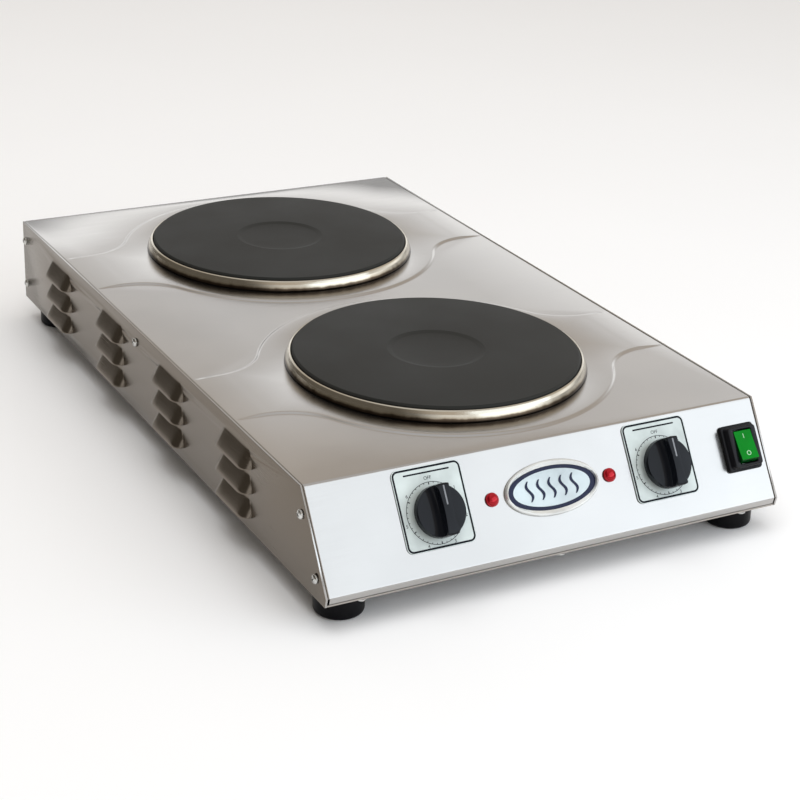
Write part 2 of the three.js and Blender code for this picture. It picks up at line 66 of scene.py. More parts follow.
LIP_TUCK = 1.2
RETURN = 11.0
EMBOSS = {"radius": 111.0, "half_width": 32.0, "fillet": 40.0, "height": 1.0, "slope": 2.2, "fade": 8.0}
PLATE_HOLE = 88.5
LOUVRE = {
    "half": 22.0, "straight": 14.5, "height": 12.0, "reach": 6.4,
    "pitch": 15.5, "rows": 3, "lowest": 24.0,
}
LOUVRE_GROUPS = {"count": 4, "pitch": 103.3, "first": -137.0}
KNOB = {"radius": 15.0, "base": 4.0, "top": 18.0, "floor": 9.5, "bar": 5.0, "scoop": 90.0}
DIAL = {
    "width": 43.6, "height": 47.2, "up": 3.5, "corner": 4.0, "low": 0.3, "high": 0.8,
    "ring": 17.6, "outline": (0.4, 1.5),
}
LAMP = {"radius": 4.1, "reach": 3.2, "up": 0.6}
BADGE_UP = 0.5
SWITCH = {"x": 133.5, "up": 0.6, "width": 24.2, "length": 28.4, "flange": 2.0, "collar": 6.4}
ROCKER = {"half_width": 6.1, "radius": 10.0, "pivot": 3.0, "middle": 8.4, "end_rise": 7.6, "throw": 16.0}
SCREW = {"head": 2.9, "height": 2.1, "shank": 1.6, "length": 5.0}
FOOT = {"radius": 14.5, "tip": 12.2, "height": 15.2, "recess": 5.5, "recess_depth": 5.0, "bore": 2.3}
GLAND = {"barrel": 8.0, "bore": 5.5, "hex": 13.0, "reach": 14.0, "inside": 14.0}

# ---------- the two spaces ----------
side_low, side_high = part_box("side_panel_left")
cover_low, cover_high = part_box("top_cover")
Y_SHIFT = (side_low.y + side_high.y) / 2
Y_BACK = (side_high.y - side_low.y) / 2 / MM
Y_FRONT = -Y_BACK
Z_BASE = side_low.z / MM
Z_TOP = side_high.z / MM
X_FOLD = cover_high.x / MM
X_SIDE = X_FOLD + SHEET + GAP
Y_CREASE = Y_FRONT + NOSE_RUN
Z_LIP = Z_BASE + LIP_HEIGHT
NOSE_ANGLE = math.atan2(Z_TOP - Z_LIP, NOSE_RUN)
PLATES = {
    end: tuple(sum(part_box(f"hot_plate_{end}"), Vector()) / 2 / MM)[1] - Y_SHIFT / MM
    for end in ("front", "rear")
}
SIDES = {"left": -1, "right": 1}

casing_space = Matrix.Translation((0, Y_SHIFT, 0)) @ Matrix.Scale(MM, 4)
joints = {joint["name"]: joint for joint in frame["joints"]}
knob_joint = joints["knob_right_turn"]
KNOB_X = knob_joint["pos_m"][0] / MM
out_of_front = Vector(knob_joint["axis"])
across = Vector((1, 0, 0))
up_front = out_of_front.cross(across)
front_origin = Vector((0, *knob_joint["pos_m"][1:]))
front_axes = Matrix((across, up_front, out_of_front)).transposed().to_4x4()
front_space = Matrix.Translation(front_origin) @ front_axes @ Matrix.Scale(MM, 4)


def at(x=0.0, y=0.0, z=0.0):
    return Matrix.Translation((x, y, z))


# ---------- mesh helpers ----------
def circle(radius, count, x=0.0, y=0.0):
    turn = 2 * math.pi / count
    return [(x + radius * math.cos(i * turn), y + radius * math.sin(i * turn)) for i in range(count)]


def arc(x, y, radius, start, end, steps):
    angles = [start + (end - start) * i / steps for i in range(steps + 1)]
    return [(x + radius * math.cos(a), y + radius * math.sin(a)) for a in angles]


def rounded_rectangle(width, height, corner, steps=6):
    w, h = width / 2 - corner, height / 2 - corner
    quarter = math.pi / 2
    centres = [(w, h), (-w, h), (-w, -h), (w, -h)]
    corners = [arc(x, y, corner, i * quarter, (i + 1) * quarter, steps) for i, (x, y) in enumerate(centres)]
    return [point for points in corners for point in points]


def filleted(profile, steps=4):
    """A polyline of (x, y) or (x, y, radius) with its inner corners rounded to the radius given."""
    points = [(*point, 0.0)[:3] for point in profile]
    result = [points[0][:2]]
    for before, here, after in zip(points, points[1:], points[2:]):
        corner = Vector(here[:2])
        to_before = (Vector(before[:2]) - corner).normalized()
        to_after = (Vector(after[:2]) - corner).normalized()
        half = to_before.angle(to_after) / 2
        if here[2] == 0 or half > math.pi / 2 - 0.01:
            result.append(tuple(corner))
            continue
        tangent = here[2] / math.tan(half)
        centre = corner + (to_before + to_after).normalized() * (here[2] / math.sin(half))
        first = corner + to_before * tangent - centre
        last = corner + to_after * tangent - centre
        sweep_angle = first.angle_signed(last)
        for step in range(steps + 1):
            turned = first.copy()
            turned.rotate(Matrix.Rotation(-sweep_angle * step / steps, 2))
            result.append(tuple(centre + turned))
    result.append(points[-1][:2])
    return result


def loft(rings, closed=False, cap=False):
    """Joins rings of points, each ring a list of 3-D points or one point; rings have equal counts."""
    bm = bmesh.new()
    made = [[bm.verts.new(point) for point in ring] for ring in rings]
    pairs = list(zip(made, made[1:]))
    if closed:
        pairs.append((made[-1], made[0]))
    for a, b in pairs:
        for i in range(max(len(a), len(b))):
            j = i + 1
            corners = [a[i % len(a)], a[j % len(a)], b[j % len(b)], b[i % len(b)]]
            unique = list(dict.fromkeys(corners))
            if len(unique) > 2:
                bm.faces.new(unique)
    if cap:
        bm.faces.new(made[0][::-1])
        bm.faces.new(made[-1])
    return bm


def lathe(profile, facets=64, closed=False):
    """A profile of (radius, z) turned about Z."""
    rings = []
    for radius, z in profile:
        flat = circle(radius, facets) if radius > 1e-6 else [(0.0, 0.0)]
        rings.append([(x, y, z) for x, y in flat])
    return loft(rings, closed=closed)


def prism(outline, low, high):
    return loft([[(x, y, z) for x, y in outline] for z in (low, high)], cap=True)


def bevel(bm, width, segments=2, limit=30):
    sharp = [e for e in bm.edges if len(e.link_faces) == 2 and e.calc_face_angle(0) > math.radians(limit)]
    bmesh.ops.bevel(
        bm, geom=sharp, offset=width, segments=segments, profile=0.5, affect="EDGES", clamp_overlap=True
    )
    return bm


def merged(*parts):
    """Several bmeshes as one; each part keeps its faces' material numbers."""
    whole = bmesh.new()
    for part in parts:
        mesh = bpy.data.meshes.new("part")
        part.to_mesh(mesh)
        part.free()
        whole.from_mesh(mesh)
        bpy.data.meshes.remove(mesh)
    return whole


def paint(bm, number, chosen=lambda centre: True):
    for face in bm.faces:
        if chosen(face.calc_center_median()):
            face.material_index = number
    return bm


def cut_out(body, *cutters):
    """The body less each cutter, by an exact boolean."""
    holder = _temporary(body)
    tools = [_temporary(cutter) for cutter in cutters]
    for tool in tools:
        modifier = holder.modifiers.new("cut", "BOOLEAN")
        modifier.operation = "DIFFERENCE"
        modifier.solver = "EXACT"
        modifier.object = tool
    result = bmesh.new()
    result.from_object(holder, bpy.context.evaluated_depsgraph_get())
    for temporary in (holder, *tools):
        mesh = temporary.data
        bpy.data.objects.remove(temporary)
        bpy.data.meshes.remove(mesh)
    return result


def _temporary(bm):
    bmesh.ops.recalc_face_normals(bm, faces=bm.faces)
    mesh = bpy.data.meshes.new("temporary")
    bm.to_mesh(mesh)
    bm.free()
    holder = bpy.data.objects.new("temporary", mesh)
    bpy.context.scene.collection.objects.link(holder)
    return holder


def piece(bm, name, space, materials, slot, body, *replaced, sharp=32, outward=True):
    """Places a bmesh as a finished object that rides on a body and stands for CAD nodes."""
    bm.transform(space)
    if outward:
        bmesh.ops.recalc_face_normals(bm, faces=bm.faces)
    for face in bm.faces:
        face.smooth = True
    for edge in bm.edges:
        edge.smooth = len(edge.link_faces) != 2 or edge.calc_face_angle(0) < math.radians(sharp)
    mesh = bpy.data.meshes.new(name)
    bm.to_mesh(mesh)
    bm.free()
    for each in materials:
        mesh.materials.append(each)
    made = bpy.data.objects.new(name, mesh)
    bpy.context.scene.collection.objects.link(made)
    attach(made, body)
    if replaced:
        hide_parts(*replaced)
    return made


def thicken(made, thickness, edge=0.16, rim=0):
    """Gives a single surface the thickness of its sheet, inwards, and breaks its cut edges."""
    solid = made.modifiers.new("sheet", "SOLIDIFY")
    solid.thickness = thickness * MM
    solid.offset = -1
    solid.use_even_offset = True
    solid.material_offset_rim = rim
    soft = made.modifiers.new("edges", "BEVEL")
    soft.width = edge * MM
    soft.segments = 2
    soft.limit_method = "ANGLE"
    soft.angle_limit = math.radians(60)
    return made


# ---------- materials ----------
INPUTS = {"specular_ior_level": "Specular IOR Level"}


class Finish:
    """One Principled material and short ways to wire procedural detail into it."""

    def __init__(self, name, color, roughness, metallic=0.0, **inputs):
        self.material = bpy.data.materials.new(name)
        self.material.use_nodes = True
        self.tree = self.material.node_tree
        self.shader = self.tree.nodes["Principled BSDF"]
        self.shader.inputs["Base Color"].default_value = (*color, 1)
        self.shader.inputs["Roughness"].default_value = roughness
        self.shader.inputs["Metallic"].default_value = metallic
        for key, value in inputs.items():
            self.shader.inputs[INPUTS.get(key, key.replace("_", " ").title())].default_value = value
        self.coordinates = self.tree.nodes.new("ShaderNodeTexCoord").outputs["Object"]

    def node(self, kind, **settings):
        made = self.tree.nodes.new(kind)
        for key, value in settings.items():
            setattr(made, key, value)
        return made

    def link(self, source, target):
        self.tree.links.new(source, target)

    def noise(self, scale, stretch=(1, 1, 1), detail=3.0):
        mapping = self.node("ShaderNodeMapping")
        mapping.inputs["Scale"].default_value = stretch
        self.link(self.coordinates, mapping.inputs["Vector"])
        made = self.node("ShaderNodeTexNoise")
        made.inputs["Scale"].default_value = scale
        made.inputs["Detail"].default_value = detail
        self.link(mapping.outputs["Vector"], made.inputs["Vector"])
        return made.outputs["Fac"]

    def remap(self, source, low, high, from_low=0.3, from_high=0.7):
        made = self.node("ShaderNodeMapRange")
        ends = (("From Min", from_low), ("From Max", from_high), ("To Min", low), ("To Max", high))
        for key, value in ends:
            made.inputs[key].default_value = value
        self.link(source, made.inputs["Value"])
        return made.outputs["Result"]

    def ramp(self, source, stops):
        made = self.node("ShaderNodeValToRGB")
        elements = made.color_ramp.elements
        while len(elements) < len(stops):
            elements.new(0.5)
        for element, (position, color) in zip(elements, stops):
            element.position = position
            element.color = (*color, 1)
        self.link(source, made.inputs["Fac"])
        return made.outputs["Color"]

    def color(self, source):
        self.link(source, self.shader.inputs["Base Color"])

    def roughness(self, source):
        self.link(source, self.shader.inputs["Roughness"])

    def bump(self, source, strength, distance=0.0002):
        made = self.node("ShaderNodeBump")
        made.inputs["Strength"].default_value = strength
        made.inputs["Distance"].default_value = distance
        self.link(source, made.inputs["Height"])
        self.link(made.outputs["Normal"], self.shader.inputs["Normal"])


def steel(name, color, roughness, grain):
    """Satin stainless sheet: a faint grain along one axis, with cloudy handling marks."""
    finish = Finish(name, color, roughness, metallic=1.0)
    stretch = tuple(25 if axis == grain else 1400 for axis in "XYZ")
    streaks = finish.noise(1.0, stretch, detail=2.0)
    clouds = finish.noise(9.0, detail=4.0)
    dark = tuple(0.94 * channel for channel in color)
    light = tuple(min(1.0, 1.05 * channel) for channel in color)
    finish.color(finish.ramp(clouds, [(0.35, dark), (0.65, light)]))
    mixed = finish.node("ShaderNodeMath", operation="MULTIPLY_ADD")
    finish.link(streaks, mixed.inputs[0])
    mixed.inputs[1].default_value = 0.5
    finish.link(clouds, mixed.inputs[2])
    finish.roughness(finish.remap(mixed.outputs[0], roughness - 0.05, roughness + 0.06, 0.45, 1.05))
    finish.bump(streaks, 0.05, 0.00005)
    return finish.material


def cast_iron(name):
    """Blackened cast iron: a sandy skin with a slightly worn bloom."""
    finish = Finish(name, (0.022, 0.022, 0.02), 0.6, specular_ior_level=0.2)
    grit = finish.noise(2600.0, detail=2.0)
    bloom = finish.noise(14.0, detail=5.0)
    finish.color(finish.ramp(bloom, [(0.3, (0.014, 0.0148, 0.0138)), (0.7, (0.022, 0.0218, 0.0198))]))
    finish.roughness(finish.remap(bloom, 0.52, 0.66))
    finish.bump(grit, 0.18, 0.0001)
    return finish.material


def ring_steel(name, low, high):
    """Polished stainless ring, its colour darkened towards its foot as painted shade."""
    finish = Finish(name, (0.7, 0.66, 0.6), 0.16, metallic=1.0)
    split = finish.node("ShaderNodeSeparateXYZ")
    finish.link(finish.coordinates, split.inputs[0])
    streaks = finish.noise(1.0, (160, 160, 12), detail=3.0)
    height = finish.remap(split.outputs["Z"], 0.0, 1.0, low, high)
    shifted = finish.node("ShaderNodeMath", operation="MULTIPLY_ADD")
    finish.link(streaks, shifted.inputs[0])
    shifted.inputs[1].default_value = 0.25
    finish.link(height, shifted.inputs[2])
    # Darkest at the foot: painted shade of the ring's underside and the dark it reflects there.
    stops = [
        (0.16, (0.03, 0.022, 0.016)),
        (0.36, (0.09, 0.066, 0.045)),
        (0.48, (0.42, 0.37, 0.29)),
        (0.64, (0.56, 0.52, 0.44)),
    ]
    finish.color(finish.ramp(shifted.outputs[0], stops))
    finish.roughness(finish.remap(streaks, 0.12, 0.24))
    return finish.material


def moulding(name, color, roughness, grain=1800.0, relief=0.06, **inputs):
    """Moulded plastic or rubber with a fine surface and slightly uneven gloss."""
    finish = Finish(name, color, roughness, **inputs)
    fine = finish.noise(grain, detail=2.0)
    patches = finish.noise(60.0, detail=3.0)
    dark = tuple(0.85 * channel for channel in color)
    light = tuple(min(1.0, 1.12 * channel) for channel in color)
    finish.color(finish.ramp(patches, [(0.3, dark), (0.7, light)]))
    finish.roughness(finish.remap(patches, roughness * 0.85, roughness * 1.2))
    finish.bump(fine, relief, 0.00005)
    return finish.material


top_steel = steel("top_steel", (0.465, 0.452, 0.438), 0.2, "X")
# The same steel as the top, its colour darkened to paint the shade the sides stand in.
shaded_side_steel = steel("shaded_side_steel", (0.186, 0.159, 0.13), 0.24, "Y")
back_steel = steel("back_steel", (0.42, 0.39, 0.36), 0.3, "X")
plate_iron = cast_iron("plate_iron")
zinc = moulding("zinc_plate", (0.62, 0.62, 0.6), 0.25, metallic=1.0)
black_gloss = moulding("black_gloss", (0.006, 0.007, 0.010), 0.13, relief=0.03, specular_ior_level=0.17)
black_satin = moulding("black_satin", (0.006, 0.006, 0.008), 0.34, relief=0.08, specular_ior_level=0.2)
foot_rubber = moulding("foot_rubber", (0.004, 0.004, 0.005), 0.36, relief=0.12, specular_ior_level=0.1)
dial_face = moulding("dial_face", (0.62, 0.69, 0.68), 0.35, relief=0.02, specular_ior_level=0.3)
print_black = moulding("print_black", (0.006, 0.007, 0.012), 0.5, specular_ior_level=0.1)
pointer_paint = moulding("pointer_paint", (0.22, 0.23, 0.25), 0.45)
lamp_red = moulding(
    "lamp_red", (0.42, 0.004, 0.012), 0.1, relief=0.01, metallic=0.55, specular_ior_level=0.5
)
rocker_green = moulding("rocker_green", (0.001, 0.20, 0.012), 0.2, relief=0.02, specular_ior_level=0.06)
# A darker green that paints the shade on the rocker's rounded rim and ends.
rocker_edge_shade = moulding("rocker_edge_shade", (0.001, 0.045, 0.006), 0.2, relief=0.02, specular_ior_level=0.06)
mark_white = moulding("mark_white", (0.45, 0.7, 0.48), 0.4)
badge_rim = moulding("badge_rim", (0.82, 0.84, 0.83), 0.2, metallic=0.6)
badge_ring = moulding("badge_ring", (0.010, 0.014, 0.045), 0.14, specular_ior_level=0.2)
badge_face = moulding("badge_face", (0.58, 0.67, 0.71), 0.3, specular_ior_level=0.3)
ceramic_cream = moulding("ceramic_cream", (0.76, 0.71, 0.6), 0.55)
lead_sleeve = moulding("lead_sleeve", (0.3, 0.05, 0.03), 0.6)


# ---------- casing ----------
def from_contour(x, y):
    """How far a point of the top lies inside the pressed-up region round the nearer plate."""
    centre = min(PLATES.values(), key=lambda middle: abs(y - middle))
    x, y = abs(x), abs(y - centre)
    radius, half_width, fillet = EMBOSS["radius"], EMBOSS["half_width"], EMBOSS["fillet"]
    fillet_y = half_width + fillet
    fillet_x = math.sqrt((radius + fillet) ** 2 - fillet_y**2)
    if x >= fillet_x:
        return half_width - y
    if math.atan2(y, x) > math.atan2(fillet_y, fillet_x):
        return radius - math.hypot(x, y)
    return math.hypot(x - fillet_x, y - fillet_y) - fillet


def pressed_height(x, y):
    share = from_contour(x, y) / EMBOSS["slope"] + 0.5
    share = max(0.0, min(1.0, share))
    from_fold = max(0.0, min(1.0, (X_FOLD - EDGE_RADIUS - abs(x)) / EMBOSS["fade"]))
    return EMBOSS["height"] * share * share * (3 - 2 * share) * from_fold


def contour(depth, x_edge):
    """The line this deep inside the pressed-up region, behind its plate, from the right edge to the left."""
    radius = EMBOSS["radius"] - depth
    half_width = EMBOSS["half_width"] - depth
    fillet = EMBOSS["fillet"] + depth
    y = half_width + fillet
    x = math.sqrt((radius + fillet) ** 2 - y**2)
    angle = math.atan2(y, x)
    right = arc(x, y, fillet, 1.5 * math.pi, math.pi + angle, 12)
    middle = arc(0, 0, radius, angle, math.pi - angle, 56)[1:-1]
    left = [(-px, py) for px, py in reversed(right)]
    return [(x_edge, half_width), *right, *middle, *left, (-x_edge, half_width)]


def triangulated(loops, lines, keep):
    """Planar triangles through closed loops and open lines, keeping those whose middle passes a test."""
    points, edges = [], []
    for chain, closed in [(loop, True) for loop in loops] + [(line, False) for line in lines]:
        first = len(points)
        points.extend(Vector(point) for point in chain)
        edges.extend((first + i, first + i + 1) for i in range(len(chain) - 1))
        if closed:
            edges.append((len(points) - 1, first))
    places, _, triangles, *_ = delaunay_2d_cdt(points, edges, [], 0, 1e-5)
    middles = [sum((places[i] for i in triangle), Vector((0, 0))) / 3 for triangle in triangles]
    return places, [triangle for triangle, middle in zip(triangles, middles) if keep(middle)]


def sheet_path(direction, normal, moves):
    """Offsets along a sheet that runs on: each move is a flat length, or a bend's (radius, angle)."""
    place = Vector()
    path = []
    for move in moves:
        if isinstance(move, tuple):
            radius, angle = move
            start = place.copy()
            along, out = direction.copy(), normal.copy()
            for step in range(1, 6):
                a = angle * step / 5
                place = start + along * (radius * math.sin(a)) - out * (radius * (1 - math.cos(a)))
                path.append(place.copy())
            direction = along * math.cos(angle) - out * math.sin(angle)
            normal = along * math.sin(angle) + out * math.cos(angle)
        else:
            stops = [SUPPORT, move - SUPPORT, move] if move > 3 * SUPPORT else [move]
            path.extend(place + direction * stop for stop in stops)
            place = place + direction * move
    return path


def sweep(bm, edges, path):
    """Runs a sheet on from its edges through a path of offsets."""
    here = Vector()
    for there in path:
        made = bmesh.ops.extrude_edge_only(bm, edges=edges)["geom"]
        moved = [item for item in made if isinstance(item, bmesh.types.BMVert)]
        edges = [item for item in made if isinstance(item, bmesh.types.BMEdge)]
        bmesh.ops.translate(bm, verts=moved, vec=there - here)
        here = there
    return edges


def border(bm, test):
    return [e for e in bm.edges if e.is_boundary and all(test(v.co) for v in e.verts)]


def edge_down(bm, edges, side):
    """Turns a side edge of the folded sheet down through a right angle, then runs a short flange on."""
    verts = {vert for edge in edges for vert in edge.verts}
    inward = {vert: -Vector((0, vert.normal.y, vert.normal.z)).normalized() for vert in verts}
    home = {vert: vert.co.copy() for vert in verts}
    turns = [math.pi / 2 * step / 5 for step in range(1, 6)]
    path = [(EDGE_RADIUS * math.sin(a), EDGE_RADIUS * (1 - math.cos(a))) for a in turns]
    path.append((EDGE_RADIUS, EDGE_RADIUS + EDGE_FLANGE))
    for out, down in path:
        made = bmesh.ops.extrude_edge_only(bm, edges=edges)["geom"]
        edges = [item for item in made if isinstance(item, bmesh.types.BMEdge)]
        moved = {}
        for vert in (item for item in made if isinstance(item, bmesh.types.BMVert)):
            before = next(e.other_vert(vert) for e in vert.link_edges if e.other_vert(vert) in verts)
            vert.co = home[before] + Vector((side * out, 0, 0)) + inward[before] * down
            moved[vert] = before
        home = {vert: home[before] for vert, before in moved.items()}
        inward = {vert: inward[before] for vert, before in moved.items()}
        verts = set(moved)


def top_cover():
    x_flat = X_FOLD - EDGE_RADIUS
    crease_tuck = FOLD_RADIUS * math.tan(NOSE_ANGLE / 2)
    y_flat = Y_CREASE + crease_tuck
    corners = [(x_flat, Y_BACK), (-x_flat, Y_BACK), (-x_flat, y_flat), (x_flat, y_flat)]
    slope = EMBOSS["slope"]
    depths = [slope * (share - 0.5) for share in (0, 0.2, 0.4, 0.6, 0.8, 1)]
    lines = []
    for middle in PLATES.values():
        for depth in (-slope / 2 - SUPPORT, *depths, slope / 2 + SUPPORT):
            line = contour(depth, x_flat)
            lines.append([(x, middle + y) for x, y in line])
            lines.append([(x, middle - y) for x, y in line])
    holes = [circle(PLATE_HOLE, 96, 0, middle) for middle in PLATES.values()]

    def clear(point):
        return all((point - Vector((0, middle))).length > PLATE_HOLE * 0.999 for middle in PLATES.values())

    places, triangles = triangulated([corners, *holes], lines, clear)
    bm = bmesh.new()
    verts = [bm.verts.new((x, y, Z_TOP + pressed_height(x, y))) for x, y in places]
    for triangle in triangles:
        bm.faces.new([verts[i] for i in triangle])
    bmesh.ops.delete(bm, geom=[v for v in bm.verts if not v.link_faces], context="VERTS")

    down, back = Vector((0, -1, 0)), Vector((0, 0, 1))
    lip_angle = math.pi / 2 + math.atan2(LIP_TUCK, LIP_HEIGHT)
    slope_length = math.hypot(NOSE_RUN, Z_TOP - Z_LIP)
    nose_tuck = 1.5 * math.tan((lip_angle - NOSE_ANGLE) / 2)
    lip = (LIP_HEIGHT - SHEET - GAP) / math.sin(lip_angle)
    return_angle = math.pi - lip_angle
    return_tuck = 1.2 * math.tan(return_angle / 2)
    moves = [
        (FOLD_RADIUS, NOSE_ANGLE),
        slope_length - crease_tuck - nose_tuck,
        (1.5, lip_angle - NOSE_ANGLE),
        lip - nose_tuck - return_tuck,
        (1.2, return_angle),
        RETURN,
    ]
    front = border(bm, lambda co: abs(co.y - y_flat) < 1e-3)
    sweep(bm, front, sheet_path(down, back, moves))

    bmesh.ops.recalc_face_normals(bm, faces=bm.faces)
    upper = max(bm.faces, key=lambda face: face.calc_area())
    if upper.normal.z < 0:
        bmesh.ops.reverse_faces(bm, faces=bm.faces)
    bm.normal_update()
    for side in SIDES.values():
        edge_down(bm, border(bm, lambda co: abs(co.x - side * x_flat) < 1e-3 and co.z > Z_LIP), side)
    made = piece(
        bm, "cover", casing_space, [top_steel], "stainless_casing", "casing", "top_cover", outward=False
    )
    return thicken(made, SHEET * 0.9)


def louvre_columns(steps=7):
    """Places along a louvre, with its height and depth there as a share; its ends are quarter ellipses."""
    half, straight = LOUVRE["half"], LOUVRE["straight"]
    turns = [math.pi / 2 * i / steps for i in range(steps + 1)]
    right = [(straight + (half - straight) * math.sin(a), max(0.0, math.cos(a))) for a in turns]
    flat = [(straight * i / 3, 1.0) for i in (-2, -1, 0, 1, 2)]
    return [(-y, share) for y, share in reversed(right)] + flat + right


def louvre_places():
    for group in range(LOUVRE_GROUPS["count"]):
        for row in range(LOUVRE["rows"]):
            y = LOUVRE_GROUPS["first"] + group * LOUVRE_GROUPS["pitch"]
            yield y, LOUVRE["lowest"] + row * LOUVRE["pitch"]


def side_panel(name, side):
    outline = [
        (Y_BACK, Z_TOP),
        (Y_CREASE, Z_TOP),
        (Y_FRONT, Z_LIP),
        (Y_FRONT + LIP_TUCK, Z_BASE),
        (Y_BACK, Z_BASE),
    ]
    height, columns = LOUVRE["height"], louvre_columns()
    footprints = [[(y + dy, z + height * share) for dy, share in columns] for y, z in louvre_places()]

    def outside_louvres(point):
        for y, z in louvre_places():
            if abs(point.x - y) >= LOUVRE["half"] or not 0 < point.y - z < height:
                continue
            past_straight = max(0.0, abs(point.x - y) - LOUVRE["straight"])
            share = math.sqrt(1 - (past_straight / (LOUVRE["half"] - LOUVRE["straight"])) ** 2)
            if point.y - z < height * share:
                return False
        return True

    places, triangles = triangulated([outline, *footprints], [], outside_louvres)
    bm = bmesh.new()
    verts = [bm.verts.new((0, *place)) for place in places]
    for triangle in triangles:
        bm.faces.new([verts[i] for i in triangle])
    rows = 8
    for y, z in louvre_places():
        hood = []
        for row in range(rows + 1):
            rise = row / rows
            lean = 1 - rise**1.12
            hood.append([
                bm.verts.new((LOUVRE["reach"] * share**0.8 * lean, y + dy, z + height * share * rise))
                for dy, share in columns
            ])
        for lower, upper in zip(hood, hood[1:]):
            for i in range(len(columns) - 1):
                bm.faces.new((lower[i], lower[i + 1], upper[i + 1], upper[i]))
    bmesh.ops.remove_doubles(bm, verts=bm.verts, dist=2e-3)
    bmesh.ops.dissolve_degenerate(bm, edges=bm.edges, dist=1e-3)
    bmesh.ops.delete(bm, geom=[v for v in bm.verts if not v.link_faces], context="VERTS")
    bm.transform(at(side * X_SIDE) @ Matrix.Diagonal((side, 1, 1, 1)))
    bmesh.ops.recalc_face_normals(bm, faces=bm.faces)
    widest = max(bm.faces, key=lambda face: face.calc_area())
    if widest.normal.x * side < 0:
        bmesh.ops.reverse_faces(bm, faces=bm.faces)
    node = f"side_panel_{name}"
    # The sheet's faces take the steel darkened as painted shade; its cut edges keep the undarkened steel.
    finishes = [shaded_side_steel, top_steel]
    made = piece(
        bm, f"side_{name}", casing_space, finishes, "stainless_casing", "casing", node, outward=False
    )
    return thicken(made, SHEET + 0.9 * GAP, rim=1)


# ---------- fixings and feet ----------
def screw_mesh():
    head, height, shank = SCREW["head"], SCREW["height"], SCREW["shank"]
    turns = [i * math.pi / 16 for i in range(9)]
    dome = [(head * math.cos(a), 0.5 + (height - 0.5) * math.sin(a)) for a in turns]
    stem = [(0, -SCREW["length"]), (shank, -SCREW["length"]), (shank, 0)]
    profile = [*stem, (head, 0), *dome[:-1], (0, height)]
    slots = []
    for turn in (0, math.pi / 2):
        slot = prism(rounded_rectangle(3.2, 0.75, 0.2, 2), height - 1.0, height + 1)
        slot.transform(Matrix.Rotation(turn, 4, "Z"))
        slots.append(slot)
    return cut_out(lathe(profile, 32), *slots)


def screws():
    template = screw_mesh()
    for name in sorted(frame["nodes"]):
        if not name.startswith(("screw_", "foot_screw_")):
            continue
        low, high = (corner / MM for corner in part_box(name))
        middle = (low + high) / 2
        height = SCREW["height"]
        if name.startswith(("screw_left", "screw_right")):
            side = -1 if "left" in name.split("_")[1] else 1
            turn = Matrix.Rotation(side * math.pi / 2, 4, "Y")
            head_at = high.x - height if side > 0 else low.x + height
            place = at(head_at, middle.y, middle.z) @ turn @ Matrix.Rotation(0.4 + middle.y, 4, "Z")
        else:
            place = at(middle.x, middle.y, low.z + height) @ Matrix.Rotation(math.pi, 4, "X")
        copy = template.copy()
        copy.transform(place)
        piece(copy, f"fixing_{name}", Matrix.Scale(MM, 4), [zinc], "zinc_fixings", "casing", name)
    template.free()


def feet():
    for name in ("front_left", "front_right", "rear_left", "rear_right"):
        low, high = (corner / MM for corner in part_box(f"foot_{name}"))
        radius, tip, height = FOOT["radius"], FOOT["tip"], FOOT["height"]
        profile = [
            (FOOT["bore"], FOOT["recess_depth"]),
            (FOOT["recess"], FOOT["recess_depth"], 0.4),
            (FOOT["recess"], 0, 0.6),
            (radius, 0, radius - tip),
            (radius, height, 0.7),
            (FOOT["bore"], height),
        ]
        place = at((low.x + high.x) / 2, (low.y + high.y) / 2, low.z)
        body = lathe(filleted(profile, 8), 72, closed=True)
        space = Matrix.Scale(MM, 4) @ place
        piece(body, f"rubber_{name}", space, [foot_rubber], "rubber_foot", "casing", f"foot_{name}")


# ---------- cooking plates ----------
def cooking_plates():
    for end in ("front", "rear"):
        low, high = (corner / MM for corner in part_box(f"hot_plate_{end}"))
        x, y, top = (low.x + high.x) / 2, (low.y + high.y) / 2, high.z
        dish = [(r, -1.75 + 0.75 * (r / 26) ** 2) for r in (0, 5, 10, 15, 20, 25)]
        profile = [
            (0, low.z - top),
            (10, low.z - top, 0.5),
            (12, -15.2, 1),
            (86.5, -15.2, 1),
            (86.5, -7.4),
            (90, -6, 0.3),
            (90, -1.2, 0.3),
            (88.9, 0, 1.0),
            (30.8, 0, 1.5),
            (27.4, -0.8, 1.5),
            *reversed(dish),
        ]
        place = Matrix.Scale(MM, 4) @ at(x, y, top)
        body = lathe(filleted(profile, 5), 160)
        piece(body, f"iron_{end}", place, [plate_iron], "cast_iron_plate", "casing", f"hot_plate_{end}")

        low, high = (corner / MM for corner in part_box(f"trim_ring_{end}"))
        height = high.z - low.z
        ring = ring_steel(f"ring_steel_{end}", low.z * MM, high.z * MM)
        outside = [
            (90.35, height - 0.5),
            (90.9, height, 0.4),
            (91.9, height - 0.5, 0.8),
            (92.9, height - 2.2, 1.5),
            (94.3, 0.5, 0.3),
            (94.4, 0.0),
            (93.5, 0.0),
            (92.0, height - 2.4, 1.2),
            (91.3, height - 1.1, 0.5),
            (90.35, height - 1.1),
        ]
        place = Matrix.Scale(MM, 4) @ at(x, y, low.z)
        body = lathe(filleted(outside, 5), 192, closed=True)
        piece(body, f"ring_{end}", place, [ring], "polished_ring", "casing", f"trim_ring_{end}", sharp=50)


